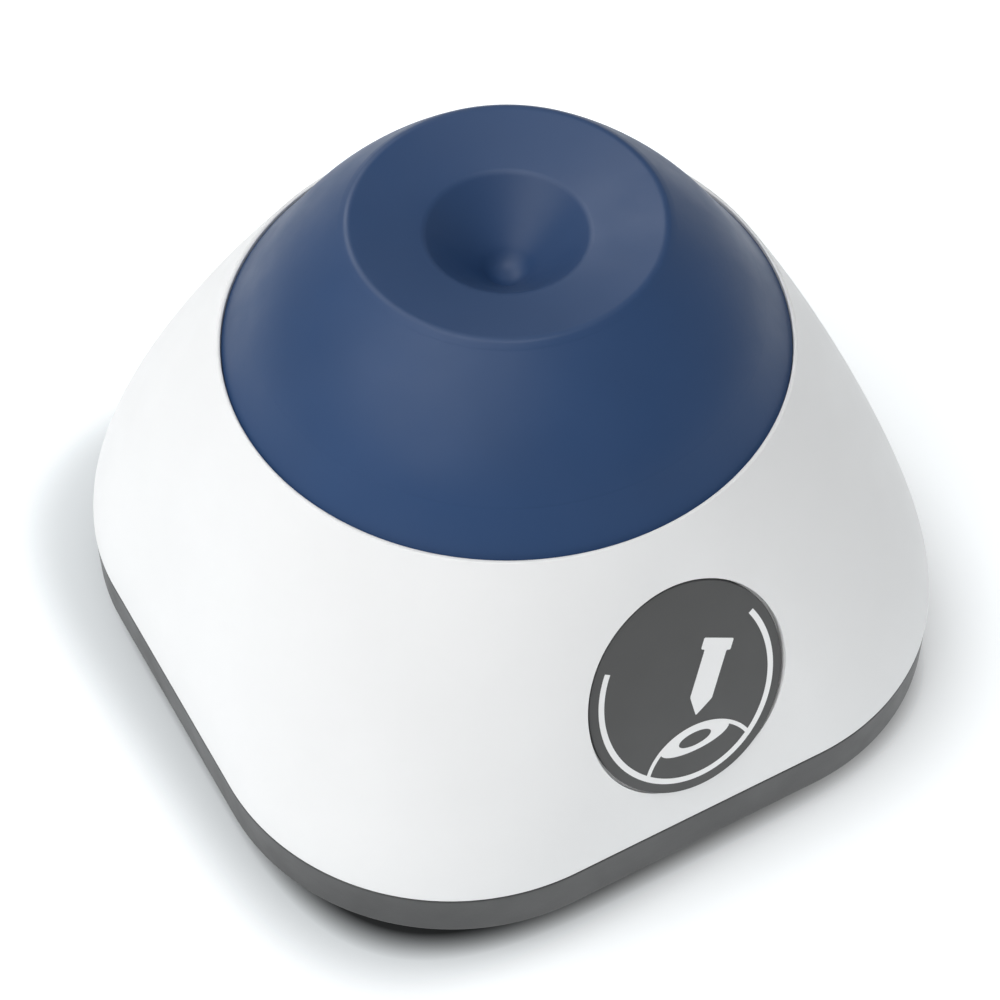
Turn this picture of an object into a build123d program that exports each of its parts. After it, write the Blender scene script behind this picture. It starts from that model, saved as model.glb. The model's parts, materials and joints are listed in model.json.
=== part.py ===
from build123d import *

import os
from math import cos, radians, sin, sqrt

# A small touch-operated vortex mixer. A white shell stands on a dark tray. A rubber bell
# closes the shell's top opening and carries the cup that tubes are pressed into. Pressing
# the cup pushes the motor's carriage down on four springs, which closes a micro-switch.
# The motor then turns an eccentric, and the cup orbits without turning.
#
# Millimetres, +Z up, badge towards -Y, origin on the table under the motor's axis.

# ---------------------------------------------------------------- driving dimensions
half_width = 50.0
base_corner = 32.1
foot_height = 1.5
band_bottom = 6.0
band_height = 7.0
underside_inset = 6.5
opening_height = 54.85
opening_radius = 35.3
opening_lip = 0.35
crease_radius = 19.05
crease_height = 72.5
dish_drop = 2.05
pocket_radius = 9.75
pocket_depth = 7.9
orbit_radius = 2.0
eccentric_angle = 60.65
press_travel = 1.5
wall = 2.4
tray_floor = 2.5
running = 0.05

seam_height = band_bottom + band_height
floor_top = foot_height + tray_floor
eccentric_x = orbit_radius * cos(radians(eccentric_angle))
eccentric_y = orbit_radius * sin(radians(eccentric_angle))
cup_axis = Axis((eccentric_x, eccentric_y, 0), (0, 0, 1))
cup_section = Plane(origin=(eccentric_x, eccentric_y, 0), x_dir=(1, 0, 0), z_dir=(0, -1, 0))

# ---------------------------------------------------------------- shell outline
# The side's outline rises straight from the seam and leans in to the opening.
wall_foot = (half_width, seam_height)
wall_low_handle = (half_width, seam_height + 8.75)
wall_high_handle = (opening_radius + opening_lip + 6.9, opening_height - 11.4)
wall_rim = (opening_radius + opening_lip, opening_height)
shell_sections = 8
collar_share = 0.65
roundest = 0.985


def bezier(t, start, handle_a, handle_b, end):
    """The point at share t of a cubic curve."""
    s = 1 - t
    weights = (s**3, 3 * s * s * t, 3 * s * t * t, t**3)
    points = (start, handle_a, handle_b, end)
    return tuple(sum(w * p[i] for w, p in zip(weights, points)) for i in range(2))


def shell_point(t):
    """Half width and height of the shell's side at share t of its outline."""
    return bezier(t, wall_foot, wall_low_handle, wall_high_handle, wall_rim)


def shell_corner(half, height):
    """Corner radius of the shell's section, which grows until the section is round."""
    share = (height - seam_height) / (opening_height - seam_height)
    base_share = base_corner / half_width
    return half * min(base_share + (1 - base_share) * share**1.7, roundest)


def shell_section(t, inset):
    """One rounded-square section of the shell, drawn inset from its outer face."""
    half, height = shell_point(t)
    with BuildSketch(Plane.XY.offset(height)) as section:
        RectangleRounded(2 * (half - inset), 2 * (half - inset), shell_corner(half, height) - inset)
    return section.sketch


collar_seat = shell_point(collar_share)[1]

# ---------------------------------------------------------------- inner layout
case_screw_pitch = 70.0
case_column_radius = 4.0
case_boss_top = seam_height + 13.0
foot_pitch = 52.0
foot_radius = 6.0

ballast_length = 80.0
ballast_width = 48.0
ballast_thickness = 4.0
ballast_top = floor_top + ballast_thickness
ballast_screw_x = 34.0
ballast_screw_y = 18.0

post_x = 24.0
post_y = 12.0
post_radius = 2.0
flange_bottom = 24.0
flange_top = 27.0
post_top = flange_top + 0.2
spring_wire = 0.35
spring_radius = 3.3
spring_turns = 7

board_bottom = 12.0
board_thickness = 1.6
board_top = board_bottom + board_thickness
board_near = 25.5
board_far = 45.5
board_half = 19.0
standoff_x = 16.0
standoff_y = (28.5, 42.5)

motor_radius = 13.8
motor_bottom = 14.5
motor_top = 43.5
shaft_radius = 1.6
plate_thickness = 2.5
plate_top = motor_top + plate_thickness
motor_screw_pitch = 16.0

hub_bottom = plate_top + 0.5
hub_top = 51.8
hub_radius = 6.5
bearing_bottom = hub_top + 0.4
bearing_width = 5.0
bearing_top = bearing_bottom + bearing_width
pin_radius = 3.0
inner_ring_radius = 4.3
outer_ring_bore = 6.2
outer_ring_radius = 7.5
ball_pitch = 5.25
ball_radius = 1.2
holder_floor_bottom = 59.9
holder_floor_top = 61.1
holder_radius = 13.5
holder_bore = 11.5
holder_top = 66.0

post_sites = [(x, y) for x in (-post_x, post_x) for y in (-post_y, post_y)]
case_sites = [
    (x, y)
    for x in (-case_screw_pitch / 2, case_screw_pitch / 2)
    for y in (-case_screw_pitch / 2, case_screw_pitch / 2)
]
foot_sites = [
    (x, y) for x in (-foot_pitch / 2, foot_pitch / 2) for y in (-foot_pitch / 2, foot_pitch / 2)
]
ballast_sites = [
    (x, y)
    for x in (-ballast_screw_x, ballast_screw_x)
    for y in (-ballast_screw_y, ballast_screw_y)
]
board_sites = [(x, y) for x in (-standoff_x, standoff_x) for y in standoff_y]

# ---------------------------------------------------------------- fasteners
m3 = {"head": 2.8, "head_height": 2.0, "shank": 1.45, "hole": 1.5}
m25 = {"head": 2.3, "head_height": 1.6, "shank": 1.2, "hole": 1.25}


def pan_screws(sites, seat, size, length, up):
    """Pan-head screws with their heads on height seat and shanks pointing up (1) or down (-1)."""
    with BuildPart() as batch:
        with BuildSketch(Plane.XY.offset(seat)):
            with Locations(*sites):
                Circle(size["head"])
        extrude(amount=-up * size["head_height"])
        with BuildSketch(Plane.XY.offset(seat)):
            with Locations(*sites):
                Circle(size["shank"])
        extrude(amount=up * length)
        with BuildSketch(Plane.XY.offset(seat - up * size["head_height"])):
            with Locations(*sites):
                RegularPolygon(size["head"] * 0.5, 6)
        extrude(amount=up * size["head_height"] * 0.6, mode=Mode.SUBTRACT)
    return batch


os.makedirs("parts", exist_ok=True)


def save(piece, name):
    """Label a finished piece and write its STEP file."""
    piece.part.label = name
    export_step(piece.part, f"parts/{name}.step")


# ---------------------------------------------------------------- shell
badge_height = 34.0
badge_tilt = 21.0
badge_half_width = 13.4
badge_half_length = 14.9
badge_face_depth = 0.5
badge_gap = 0.35
badge_thickness = 0.8
inlet_height = 19.1
inlet_hole_radius = 4.6
seam_tongue = 1.8
tongue_overlap = 4.0
tongue_width = 1.3
tongue_gap = 0.3
screw_head_depth = 3.0


def shell_half_width(height):
    """Half width of the shell at a height, found by halving the outline's share."""
    low, high = 0.0, 1.0
    for _ in range(40):
        middle = (low + high) / 2
        if shell_point(middle)[1] < height:
            low = middle
        else:
            high = middle
    return shell_point(low)[0]


badge_plane = Plane(
    origin=(0, -shell_half_width(badge_height), badge_height),
    x_dir=(1, 0, 0),
    z_dir=(0, -cos(radians(badge_tilt)), sin(radians(badge_tilt))),
)
outer_shares = [i / (shell_sections - 1) for i in range(shell_sections)]
cavity_shares = [collar_share * share for share in outer_shares]
outer_sections = [shell_section(share, 0) for share in outer_shares]
cavity_sections = [shell_section(share, wall) for share in cavity_shares]

with BuildPart() as upper_housing:
    loft(sections=outer_sections)
    loft(sections=cavity_sections, mode=Mode.SUBTRACT)
    # opening for the bell, through the solid collar above the cavity
    with BuildSketch(Plane.XY.offset(collar_seat - 1)):
        Circle(opening_radius)
    extrude(amount=opening_height, mode=Mode.SUBTRACT)
    # bosses for the screws that hold the tray
    with BuildSketch(Plane.XY.offset(seam_height)):
        with Locations(*case_sites):
            Circle(case_column_radius - 0.5)
    extrude(amount=case_boss_top - seam_height)
    with BuildSketch(Plane.XY.offset(seam_height)):
        with Locations(*case_sites):
            Circle(m3["hole"])
    extrude(amount=9.0, mode=Mode.SUBTRACT)
    # pilot holes for the clamp ring's screws
    with BuildSketch(Plane.XY.offset(collar_seat)):
        with PolarLocations(39.5, 4, start_angle=45):
            Circle(m25["hole"])
    extrude(amount=5.5, mode=Mode.SUBTRACT)
    # shallow recess for the badge plate
    with BuildSketch(badge_plane.offset(-badge_face_depth - badge_thickness)):
        Ellipse(badge_half_width + badge_gap, badge_half_length + badge_gap)
    extrude(amount=4.0, mode=Mode.SUBTRACT)
    # hole for the power inlet, in the back
    with BuildSketch(Plane(origin=(0, half_width + 2, inlet_height), z_dir=(0, -1, 0))):
        Circle(inlet_hole_radius)
    extrude(amount=8.0, mode=Mode.SUBTRACT)
save(upper_housing, "upper_housing")


def tray_section(height, inset):
    """One rounded-square section of the tray, drawn inset from the band's outer face."""
    with BuildSketch(Plane.XY.offset(height)) as section:
        RectangleRounded(2 * (half_width - inset), 2 * (half_width - inset), base_corner - inset)
    return section.sketch


with BuildPart() as base_tray:
    # upright band, over an underside that leans in to the plinth
    loft(sections=[tray_section(foot_height, underside_inset), tray_section(band_bottom, 0)])
    with BuildSketch(Plane.XY.offset(band_bottom)):
        RectangleRounded(2 * half_width, 2 * half_width, base_corner)
    extrude(amount=band_height)
    # cavity of the same shape
    cavity_shoulder = band_bottom + tray_floor
    loft(
        sections=[
            tray_section(floor_top, wall + underside_inset),
            tray_section(cavity_shoulder, wall),
        ],
        mode=Mode.SUBTRACT,
    )
    with BuildSketch(Plane.XY.offset(cavity_shoulder)):
        RectangleRounded(2 * (half_width - wall), 2 * (half_width - wall), base_corner - wall)
    extrude(amount=band_height, mode=Mode.SUBTRACT)
    # tongue that locates the tray inside the shell
    tongue_outer = half_width - wall - tongue_gap
    tongue_inner = half_width - wall - tongue_width
    with BuildSketch(Plane.XY.offset(seam_height - tongue_overlap)):
        RectangleRounded(2 * (half_width - wall), 2 * (half_width - wall), base_corner - wall)
        RectangleRounded(
            2 * tongue_inner, 2 * tongue_inner, base_corner - wall - tongue_width, mode=Mode.SUBTRACT
        )
    extrude(amount=tongue_overlap)
    with BuildSketch(Plane.XY.offset(seam_height)):
        RectangleRounded(2 * tongue_outer, 2 * tongue_outer, base_corner - wall - tongue_gap)
        RectangleRounded(
            2 * tongue_inner, 2 * tongue_inner, base_corner - wall - tongue_width, mode=Mode.SUBTRACT
        )
        with Locations(*case_sites):
            Circle(case_column_radius, mode=Mode.SUBTRACT)
    extrude(amount=seam_tongue)
    # columns for the case screws, with their heads let in from below
    with BuildSketch(Plane.XY.offset(floor_top)):
        with Locations(*case_sites):
            Circle(case_column_radius)
    extrude(amount=seam_height - floor_top)
    with BuildSketch(Plane.XY.offset(foot_height)):
        with Locations(*case_sites):
            Circle(m3["hole"] + 0.2)
    extrude(amount=seam_height, mode=Mode.SUBTRACT)
    with BuildSketch(Plane.XY.offset(foot_height)):
        with Locations(*case_sites):
            Circle(m3["head"] + 0.3)
    extrude(amount=screw_head_depth, mode=Mode.SUBTRACT)
    # standoffs under the control board
    with BuildSketch(Plane.XY.offset(floor_top)):
        with Locations(*board_sites):
            Circle(2.6)
    extrude(amount=board_bottom - floor_top)
    with BuildSketch(Plane.XY.offset(board_bottom)):
        with Locations(*board_sites):
            Circle(m25["hole"])
    extrude(amount=-7.0, mode=Mode.SUBTRACT)
    # blind holes for the ballast screws
    with BuildSketch(Plane.XY.offset(floor_top)):
        with Locations(*ballast_sites):
            Circle(m3["hole"])
    extrude(amount=-2.0, mode=Mode.SUBTRACT)
    # recesses for the feet
    with BuildSketch(Plane.XY.offset(foot_height)):
        with Locations(*foot_sites):
            Circle(foot_radius + 0.1)
    extrude(amount=1.2, mode=Mode.SUBTRACT)
save(base_tray, "base_tray")

with BuildPart() as rubber_feet:
    with BuildSketch():
        with Locations(*foot_sites):
            Circle(foot_radius)
    extrude(amount=foot_height + 1.2)
    fillet(rubber_feet.edges().group_by(Axis.Z)[0], 0.6)
save(rubber_feet, "rubber_feet")

with BuildPart() as badge_plate:
    with BuildSketch(badge_plane.offset(-badge_face_depth - badge_thickness)):
        Ellipse(badge_half_width, badge_half_length)
    extrude(amount=badge_thickness)
save(badge_plate, "badge_plate")

housing_screws = pan_screws(case_sites, foot_height + screw_head_depth, m3, 15.5, 1)
save(housing_screws, "housing_screws")

# ---------------------------------------------------------------- rubber bell
bell_gap = 0.1
bell_skin = 2.2
bell_flange_radius = 36.9
bell_flange_thickness = 2.0
bell_sections = 9
crown_share = 0.75
bell_foot = (opening_radius - bell_gap, opening_height - 0.4)
bell_low_handle = (30.0, 61.3)
bell_high_handle = (30.4, 63.5)
lean_start = 0.3
lean_softness = 0.2
bell_crease = (crease_radius, crease_height)
dish_height = crease_height - dish_drop
pocket_bottom = dish_height - pocket_depth
flange_bottom_height = collar_seat - bell_flange_thickness


def bell_lean(height):
    """Share of the way from the motor's axis to the cup's. It starts softly, above the bell's foot."""
    share = (height - bell_foot[1]) / (crease_height - bell_foot[1])
    rise = max(share - lean_start, 0) / (1 - lean_start)
    return (sqrt(rise**2 + lean_softness**2) - lean_softness) / (sqrt(1 + lean_softness**2) - lean_softness)


def bell_section(t, inset):
    """A round section of the bell. Its centre moves from the motor's axis to the cup's."""
    radius, height = bezier(t, bell_foot, bell_low_handle, bell_high_handle, bell_crease)
    lean = bell_lean(height)
    with BuildSketch(Plane.XY.offset(height)) as section:
        with Locations((lean * eccentric_x, lean * eccentric_y)):
            Circle(radius - inset)
    return section.sketch


bell_shares = [i / (bell_sections - 1) for i in range(bell_sections)]
bell_outer = [bell_section(share, 0) for share in bell_shares]
bell_inner = [bell_section(crown_share * share, bell_skin) for share in bell_shares]

with BuildPart() as silicone_bell:
    loft(sections=bell_outer)
    with BuildSketch(Plane.XY.offset(flange_bottom_height)):
        Circle(opening_radius - bell_gap)
    extrude(amount=bell_foot[1] - flange_bottom_height)
    with BuildSketch(Plane.XY.offset(flange_bottom_height)):
        Circle(bell_flange_radius)
    extrude(amount=bell_flange_thickness)
    loft(sections=bell_inner, mode=Mode.SUBTRACT)
    with BuildSketch(Plane.XY.offset(flange_bottom_height)):
        Circle(opening_radius - bell_gap - bell_skin)
    extrude(amount=bell_foot[1] - flange_bottom_height, mode=Mode.SUBTRACT)
    # plug that fills the rigid holder
    with BuildSketch(Plane.XY.offset(holder_floor_top)):
        with Locations((eccentric_x, eccentric_y)):
            Circle(holder_bore - 0.05)
    extrude(amount=dish_height - holder_floor_top - 1)
    # dish and tapered pocket for the tube's end
    with BuildSketch(cup_section):
        with BuildLine():
            ThreePointArc((0, pocket_bottom), (2.3, pocket_bottom + 0.25), (4.2, pocket_bottom + 1.0))
            Line((4.2, pocket_bottom + 1.0), (pocket_radius - 0.5, dish_height - 0.4))
            Line((pocket_radius - 0.5, dish_height - 0.4), (pocket_radius, dish_height))
            Line((pocket_radius, dish_height), (crease_radius - 0.9, crease_height))
            Line((crease_radius - 0.9, crease_height), (crease_radius - 0.9, crease_height + 1))
            Line((crease_radius - 0.9, crease_height + 1), (0, crease_height + 1))
            Line((0, crease_height + 1), (0, pocket_bottom))
        make_face()
    revolve(axis=cup_axis, mode=Mode.SUBTRACT)
save(silicone_bell, "silicone_bell")

clamp_bottom = flange_bottom_height - 2.5
clamp_ear = 3.4
clamp_circle = 39.5
with BuildPart() as bell_clamp_ring:
    with BuildSketch(Plane.XY.offset(clamp_bottom)):
        Circle(38.0)
        with PolarLocations(clamp_circle, 4, start_angle=45):
            Circle(clamp_ear)
        Circle(33.2, mode=Mode.SUBTRACT)
    extrude(amount=2.5)
    with BuildSketch(Plane.XY.offset(flange_bottom_height)):
        with PolarLocations(clamp_circle, 4, start_angle=45):
            Circle(2.2)
    extrude(amount=bell_flange_thickness)
    with BuildSketch(Plane.XY.offset(clamp_bottom)):
        with PolarLocations(clamp_circle, 4, start_angle=45):
            Circle(m25["hole"] + 0.1)
    extrude(amount=6.0, mode=Mode.SUBTRACT)
save(bell_clamp_ring, "bell_clamp_ring")

diagonal = clamp_circle * cos(radians(45))
clamp_sites = [(x, y) for x in (-diagonal, diagonal) for y in (-diagonal, diagonal)]
clamp_screws = pan_screws(clamp_sites, clamp_bottom, m25, 9.5, 1)
save(clamp_screws, "clamp_screws")

# ---------------------------------------------------------------- ballast and guides
with BuildPart() as ballast_plate:
    with BuildSketch(Plane.XY.offset(floor_top)):
        RectangleRounded(ballast_length, ballast_width, 6.0)
        Circle(15.0, mode=Mode.SUBTRACT)
        with Locations(*ballast_sites):
            Circle(m3["hole"] + 0.1, mode=Mode.SUBTRACT)
        with Locations(*post_sites):
            Circle(post_radius, mode=Mode.SUBTRACT)
    extrude(amount=ballast_thickness)
    chamfer(ballast_plate.faces().sort_by(Axis.Z)[-1].outer_wire().edges(), 0.5)
save(ballast_plate, "ballast_plate")

ballast_screws = pan_screws(ballast_sites, ballast_top, m3, ballast_thickness + 1.8, -1)
save(ballast_screws, "ballast_screws")

with BuildPart() as guide_posts:
    with BuildSketch(Plane.XY.offset(floor_top)):
        with Locations(*post_sites):
            Circle(post_radius)
    extrude(amount=post_top - floor_top)
    with BuildSketch(Plane.XY.offset(post_top)):
        with Locations(*post_sites):
            Circle(m25["hole"])
    extrude(amount=-7.0, mode=Mode.SUBTRACT)
save(guide_posts, "guide_posts")

with BuildPart() as post_washers:
    with BuildSketch(Plane.XY.offset(post_top)):
        with Locations(*post_sites):
            Circle(4.4)
            Circle(m25["hole"] + 0.1, mode=Mode.SUBTRACT)
    extrude(amount=0.8)
save(post_washers, "post_washers")

post_screws = pan_screws(post_sites, post_top + 0.8, m25, 6.5, -1)
save(post_screws, "post_screws")

collar_thickness = 0.8
spring_bottom = ballast_top + spring_wire + 0.05
spring_length = flange_bottom - collar_thickness - ballast_top - 2 * (spring_wire + 0.05)
with BuildPart() as return_springs:
    for x, y in post_sites:
        with BuildLine() as coil:
            Helix(
                pitch=spring_length / spring_turns,
                height=spring_length,
                radius=spring_radius,
                center=(x, y, spring_bottom),
            )
        with BuildSketch(Plane(origin=coil.line @ 0, z_dir=coil.line % 0)):
            Circle(spring_wire)
        sweep(path=coil.line)
save(return_springs, "return_springs")

# ---------------------------------------------------------------- control board
switch_y = 29.3
switch_size = (12.8, 5.8, 6.5)
plunger_radius = 1.1
plunger_top = board_top + switch_size[2] + 1.9
jack_near = 33.6
jack_far = 44.8
jack_nose = 2.8
jack_width = 9.0
jack_height = 11.0
jack_bore = 2.75
jack_pin = 1.05

with BuildPart() as control_board:
    with BuildSketch(Plane.XY.offset(board_bottom)):
        with Locations((0, (board_near + board_far) / 2)):
            RectangleRounded(2 * board_half, board_far - board_near, 1.5)
        with Locations(*board_sites):
            Circle(m25["hole"] + 0.1, mode=Mode.SUBTRACT)
        with Locations((-4, switch_y), (4, switch_y)):
            Circle(0.5, mode=Mode.SUBTRACT)
    extrude(amount=board_thickness)
save(control_board, "control_board")

board_screws = pan_screws(board_sites, board_top, m25, board_thickness + 5.0, -1)
save(board_screws, "board_screws")

with BuildPart() as switch_body:
    with BuildSketch(Plane.XY.offset(board_top)):
        with Locations((0, switch_y)):
            RectangleRounded(switch_size[0], switch_size[1], 0.4)
    extrude(amount=switch_size[2])
    with BuildSketch(Plane.XY.offset(board_top + switch_size[2])):
        with Locations((0, switch_y)):
            Circle(plunger_radius + running)
    extrude(amount=-4.5, mode=Mode.SUBTRACT)
save(switch_body, "switch_body")

with BuildPart() as switch_pins:
    with BuildSketch(Plane.XY.offset(board_top)):
        with Locations((-4, switch_y), (4, switch_y)):
            Circle(0.45)
    extrude(amount=-board_thickness - 1.5)
save(switch_pins, "switch_pins")

with BuildPart() as switch_plunger:
    with BuildSketch(Plane.XY.offset(plunger_top)):
        with Locations((0, switch_y)):
            Circle(plunger_radius)
    extrude(amount=-4.2)
    fillet(switch_plunger.edges().group_by(Axis.Z)[-1], 0.4)
save(switch_plunger, "switch_plunger")

with BuildPart() as dc_jack_body:
    jack_middle = (jack_near + jack_far) / 2
    with BuildSketch(Plane.XY.offset(board_top)):
        with Locations((0, jack_middle)):
            Rectangle(jack_width, jack_far - jack_near)
    extrude(amount=jack_height)
    chamfer(dc_jack_body.edges().filter_by(Axis.Y).group_by(Axis.Z)[-1], 1.0)
    with BuildSketch(Plane(origin=(0, jack_far, inlet_height), z_dir=(0, 1, 0))):
        Circle(4.2)
    extrude(amount=jack_nose)
    with BuildSketch(Plane(origin=(0, jack_far + jack_nose, inlet_height), z_dir=(0, -1, 0))):
        Circle(jack_bore)
    extrude(amount=9.5, mode=Mode.SUBTRACT)
    with BuildSketch(Plane(origin=(0, jack_near, inlet_height), z_dir=(0, 1, 0))):
        Circle(jack_pin)
    extrude(amount=6.0, mode=Mode.SUBTRACT)
save(dc_jack_body, "dc_jack_body")

with BuildPart() as dc_jack_pin:
    with BuildSketch(Plane(origin=(0, jack_near + 0.5, inlet_height), z_dir=(0, 1, 0))):
        Circle(jack_pin)
    extrude(amount=12.5)
    fillet(dc_jack_pin.edges().group_by(Axis.Y)[-1], 0.5)
save(dc_jack_pin, "dc_jack_pin")

with BuildPart() as board_capacitor:
    with BuildSketch(Plane.XY.offset(board_top)):
        with Locations((-10.5, 35.5)):
            Circle(4.0)
    extrude(amount=9.0)
    fillet(board_capacitor.edges().group_by(Axis.Z)[-1], 0.5)
save(board_capacitor, "board_capacitor")

with BuildPart() as board_chips:
    with BuildSketch(Plane.XY.offset(board_top)):
        with Locations((10.5, 40.5), (-9.5, 42.6)):
            Rectangle(5.0, 4.0)
        with Locations((9.0, 34.6)):
            Rectangle(4.0, 3.0)
    extrude(amount=1.6)
save(board_chips, "board_chips")

header_x = 10.0
header_near = 27.4
header_pitch = 2.5
with BuildPart() as lead_header:
    with BuildSketch(Plane.XY.offset(board_top)):
        with Locations((header_x, header_near + 2.0)):
            Rectangle(6.4, 4.0)
    extrude(amount=5.0)
save(lead_header, "lead_header")

# ---------------------------------------------------------------- motor leads
terminal_x = 7.0
terminal_bottom = 9.3
lead_radius = 0.55
lead_height = 10.2
header_height = board_top + 2.5
with BuildPart() as motor_leads:
    for start_x, end_x in (
        (-terminal_x, header_x - header_pitch / 2),
        (terminal_x, header_x + header_pitch / 2),
    ):
        with BuildLine() as route:
            FilletPolyline(
                (start_x, 0.9, lead_height),
                (start_x, 7.0, lead_height),
                (end_x, 14.0, lead_height),
                (end_x, 20.5, lead_height + 1.2),
                (end_x, 23.5, header_height),
                (end_x, header_near, header_height),
                radius=(2.5, 3.0, 2.5, 2.5) if start_x < 0 else (4.0, 5.0, 2.5, 2.5),
            )
        with BuildSketch(Plane(origin=route.line @ 0, z_dir=route.line % 0)):
            Circle(lead_radius)
        sweep(path=route.line)
save(motor_leads, "motor_leads")

# ---------------------------------------------------------------- carriage
sleeve_radius = 16.3
bush_radius = 3.2
with BuildPart() as motor_cradle:
    with BuildSketch(Plane.XY.offset(flange_bottom)):
        RectangleRounded(60.0, 34.0, 5.0)
        with Locations((0, 24.0)):
            Rectangle(6.0, 16.0)
        with Locations(*post_sites):
            Circle(bush_radius, mode=Mode.SUBTRACT)
    extrude(amount=flange_top - flange_bottom)
    with BuildSketch(Plane.XY.offset(flange_bottom)):
        Circle(sleeve_radius)
    extrude(amount=plate_top - flange_bottom)
    # four webs between the flange and the sleeve
    with BuildSketch(Plane.XZ):
        with BuildLine():
            Polyline(
                (sleeve_radius - 1, flange_top),
                (sleeve_radius + 3.2, flange_top),
                (sleeve_radius - 1, plate_top - 6),
                close=True,
            )
        make_face()
    web = extrude(amount=1.0, both=True)
    mirror(web, about=Plane.YZ)
    # finger over the switch's plunger
    with BuildSketch(Plane.XY.offset(plunger_top + 0.3)):
        with Locations((0, switch_y)):
            Circle(1.8)
    extrude(amount=flange_bottom - plunger_top)
    # bore for the motor, its front boss and its screws
    with BuildSketch(Plane.XY.offset(flange_bottom - 1)):
        Circle(motor_radius + 0.1)
    extrude(amount=motor_top - flange_bottom + 1, mode=Mode.SUBTRACT)
    with BuildSketch(Plane.XY.offset(motor_top)):
        Circle(5.1)
    extrude(amount=plate_thickness, mode=Mode.SUBTRACT)
    with Locations(
        (motor_screw_pitch / 2, 0, plate_top),
        (-motor_screw_pitch / 2, 0, plate_top),
    ):
        CounterSinkHole(1.3, 2.4, depth=plate_thickness + 0.5)
save(motor_cradle, "motor_cradle")

with BuildPart() as guide_bushes:
    with BuildSketch(Plane.XY.offset(flange_bottom - collar_thickness)):
        with Locations(*post_sites):
            Circle(4.2)
    extrude(amount=collar_thickness)
    with BuildSketch(Plane.XY.offset(flange_bottom)):
        with Locations(*post_sites):
            Circle(bush_radius)
    extrude(amount=flange_top - flange_bottom)
    with BuildSketch(Plane.XY.offset(flange_bottom - collar_thickness)):
        with Locations(*post_sites):
            Circle(post_radius + running)
    extrude(amount=flange_top, mode=Mode.SUBTRACT)
save(guide_bushes, "guide_bushes")

can_bore = motor_radius - 1.0
front_bush_radius = 3.2
bush_bottom = motor_top - 2.0
with BuildPart() as motor_can:
    with BuildSketch(Plane.XY.offset(motor_bottom)):
        Circle(motor_radius)
    extrude(amount=motor_top - motor_bottom)
    fillet(motor_can.edges().group_by(Axis.Z)[-1], 1.0)
    with BuildSketch(Plane.XY.offset(motor_top)):
        Circle(4.9)
    extrude(amount=1.7)
    with BuildSketch(Plane.XY.offset(motor_bottom)):
        Circle(can_bore)
    extrude(amount=motor_top - motor_bottom - 1.2, mode=Mode.SUBTRACT)
    with BuildSketch(Plane.XY.offset(motor_bottom)):
        Circle(front_bush_radius)
        with Locations((motor_screw_pitch / 2, 0), (-motor_screw_pitch / 2, 0)):
            Circle(1.3)
    extrude(amount=motor_top, mode=Mode.SUBTRACT)
save(motor_can, "motor_can")

with BuildPart() as motor_screws:
    with Locations(
        (motor_screw_pitch / 2, 0, plate_top),
        (-motor_screw_pitch / 2, 0, plate_top),
    ):
        Cylinder(1.25, 5.0, align=(Align.CENTER, Align.CENTER, Align.MAX))
        Cone(1.25, 2.3, 1.1, align=(Align.CENTER, Align.CENTER, Align.MAX))
    with BuildSketch(Plane.XY.offset(plate_top)):
        with Locations((motor_screw_pitch / 2, 0), (-motor_screw_pitch / 2, 0)):
            RegularPolygon(1.0, 6)
    extrude(amount=-0.7, mode=Mode.SUBTRACT)
save(motor_screws, "motor_screws")

cap_bottom = 12.3
cap_plug_top = motor_bottom + 0.8
with BuildPart() as motor_end_cap:
    with BuildSketch(Plane.XY.offset(cap_bottom)):
        Circle(motor_radius)
    extrude(amount=motor_bottom - cap_bottom)
    with BuildSketch(Plane.XY.offset(motor_bottom)):
        Circle(can_bore)
    extrude(amount=cap_plug_top - motor_bottom)
    # arms that hold the brushes
    with BuildSketch(Plane.XY.offset(cap_plug_top)):
        with Locations((7.75, 0), (-7.75, 0)):
            Rectangle(2.5, 4.0)
    extrude(amount=3.9)
    with BuildSketch(Plane.XY.offset(cap_bottom)):
        Circle(front_bush_radius)
    extrude(amount=cap_plug_top - cap_bottom, mode=Mode.SUBTRACT)
save(motor_end_cap, "motor_end_cap")

with BuildPart() as motor_bushes:
    with BuildSketch(Plane.XY.offset(cap_bottom)):
        Circle(front_bush_radius)
        Circle(shaft_radius + running, mode=Mode.SUBTRACT)
    extrude(amount=cap_plug_top - cap_bottom)
    with BuildSketch(Plane.XY.offset(bush_bottom)):
        Circle(front_bush_radius)
        Circle(shaft_radius + running, mode=Mode.SUBTRACT)
    extrude(amount=motor_top + 1.7 - bush_bottom)
save(motor_bushes, "motor_bushes")

with BuildPart() as motor_terminals:
    with BuildSketch(Plane.XY.offset(cap_bottom)):
        with Locations((-terminal_x, 0), (terminal_x, 0)):
            Rectangle(2.6, 0.6)
    extrude(amount=terminal_bottom - cap_bottom)
save(motor_terminals, "motor_terminals")

magnet_bottom = 20.5
magnet_height = 19.5
magnet_bore = 10.0
with BuildPart() as motor_magnets:
    with BuildSketch(Plane.XY.offset(magnet_bottom)):
        Circle(can_bore)
        Circle(magnet_bore, mode=Mode.SUBTRACT)
        Rectangle(40.0, 7.0, mode=Mode.SUBTRACT)
    extrude(amount=magnet_height)
save(motor_magnets, "motor_magnets")

commutator_bottom = cap_plug_top + 0.5
commutator_height = 3.6
commutator_radius = 3.2
with BuildPart() as motor_brushes:
    with BuildSketch(Plane.XY.offset(commutator_bottom + 0.6)):
        with Locations((4.9, 0), (-4.9, 0)):
            Rectangle(3.2, 2.6)
    extrude(amount=2.4)
save(motor_brushes, "motor_brushes")

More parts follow.
